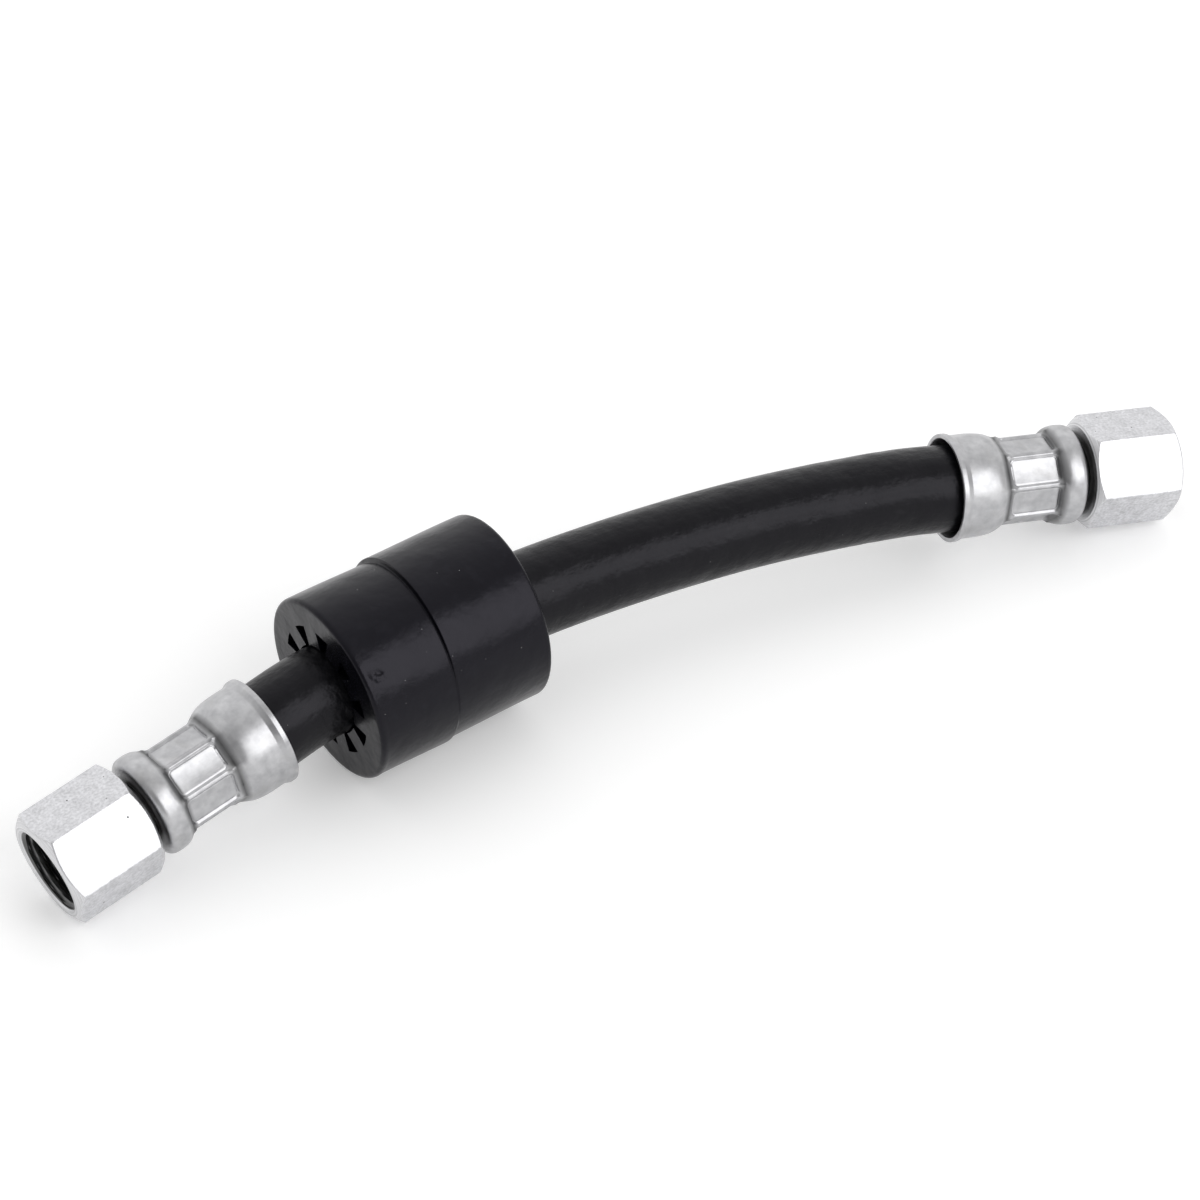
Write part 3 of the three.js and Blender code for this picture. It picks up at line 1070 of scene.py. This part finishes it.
def nut(fitting, finish):
    angles = full_turn(nut_columns)
    corner_radius = hexagon(angles)
    ring, minor, entry = nut_ring_diameter / 2, thread_bore / 2, thread_entry / 2
    chamfer = (corner_radius - ring) * math.tan(nut_chamfer_angle)
    rows = section(
        [
            corner(nut_hole, 0, nut_edge, rows=3),
            corner(ring, 0, nut_edge, rows=2),
            corner(corner_radius, chamfer, back_corner_rounding, rows=24),
            corner(corner_radius, nut_length - chamfer, front_corner_rounding, rows=2),
            corner(ring, nut_length, nut_edge, rows=1),
            corner(entry, nut_length, nut_mouth_edge),
            *thread_corners(angles),
            corner(minor, nut_back_wall + minor - nut_hole, relief_rounding, rows=2),
            corner(nut_hole, nut_back_wall, nut_edge, rows=4),
        ],
        nut_columns,
    )
    straight = spun(rows, angles)
    radius, height = rows[..., 0], rows[..., 1]
    marks = 1.0 - (radius > corner_radius - flat_tolerance)
    # Painted shade: the threaded bore and the back face's inner ring in the gap get marks of 2
    marks += (radius < entry) & (height < nut_length - thread_shade_start)
    marks += (1 - smooth(radius, *gap_shade_radii)) * (height < gap_shade_height)
    placed = turned_about_z(straight, fitting["nut_turn"]) + np.array([0, 0, nut_start])
    name = fitting["name"]
    return piece(
        "nut_" + name,
        fitting_place(fitting)(placed),
        straight,
        finish,
        body="swivel_nut_" + name,
        marks=marks,
    )


def make_pieces():
    hose_piece = hose()
    on_hose = [grommet()]
    ferrule_finish, nipple_finish, nut_finish = pressed_zinc(), nipple_zinc(), nut_zinc()
    for fitting in fittings:
        on_hose.append(ferrule(fitting, ferrule_finish))
        on_hose.append(nipple(fitting, nipple_finish))
        on_hose.append(nut(fitting, nut_finish))


make_pieces()


# Floor, lamp and world

white = (1.0, 1.0, 1.0, 1.0)
seen_rays = ("Is Camera Ray", "Is Glossy Ray", "Is Transmission Ray")

floor_half = 3.0
floor_drop = 0.02 * mm
floor_tone = 0.89
floor_lift = 0.23
floor_roughness = 0.9

softbox_direction = studio(0.646, -0.487, 0.588)
softbox_target = Vector((0, 0, 10 * mm))
softbox_distance = 1.2
softbox_width = 0.9
softbox_height = 1.0
softbox_radiance = 2.4

front_level = 0.38
back_level = 1.2
brightest = studio(-0.2, 0.95, 0.25)
back_range = -0.5, 0.9
backdrop_range = 0.1, 0.3


def seen_directly(f):
    """1 for the camera and in reflections and glass, and 0 for light that is scattered."""
    camera, glossy, through = [f.node("ShaderNodeLightPath", None, name) for name in seen_rays]
    return (camera + glossy + through).clipped()


def add_floor():
    half = floor_half
    corners = [(-half, -half, 0), (half, -half, 0), (half, half, 0), (-half, half, 0)]
    mesh = bpy.data.meshes.new("floor")
    mesh.from_pydata(corners, [], [(0, 1, 2, 3)])
    floor = bpy.data.objects.new("floor", mesh)
    floor.location.z = -floor_drop
    bpy.context.scene.collection.objects.link(floor)
    material = bpy.data.materials.new("floor_white")
    mesh.materials.append(material)
    f = Finish(material)
    f.surface(
        Base_Color=grey(floor_tone),
        Roughness=floor_roughness,
        Emission_Color=white,
        Emission_Strength=floor_lift * seen_directly(f),
    )


def add_softbox():
    """A rectangular lamp. A radiance of 1 is as bright as the white background."""
    data = bpy.data.lights.new("front_softbox", "AREA")
    data.shape = "RECTANGLE"
    data.size = softbox_width
    data.size_y = softbox_height
    data.energy = softbox_radiance * math.pi * softbox_width * softbox_height
    aimed(data, softbox_target + softbox_direction * softbox_distance, softbox_target)


def add_world():
    """Soft light that is brighter at the back, with a white backdrop near the horizon."""
    world = bpy.data.worlds.new("studio")
    bpy.context.scene.world = world
    f = Finish(world)
    x, y, z = f.split(f.node("ShaderNodeTexCoord", None, "Generated"))
    towards = x * brightest.x + y * brightest.y + z * brightest.z
    studio_level = front_level + (back_level - front_level) * towards.between(*back_range)
    backdrop = seen_directly(f) * (1 - z.between(*backdrop_range))
    strength = studio_level + backdrop * (1 - studio_level)
    background = f.node("ShaderNodeBackground", Color=white, Strength=strength)
    f.node("ShaderNodeOutputWorld", Surface=background)


add_floor()
add_softbox()
add_world()

bpy.context.scene.view_settings.view_transform = "Standard"
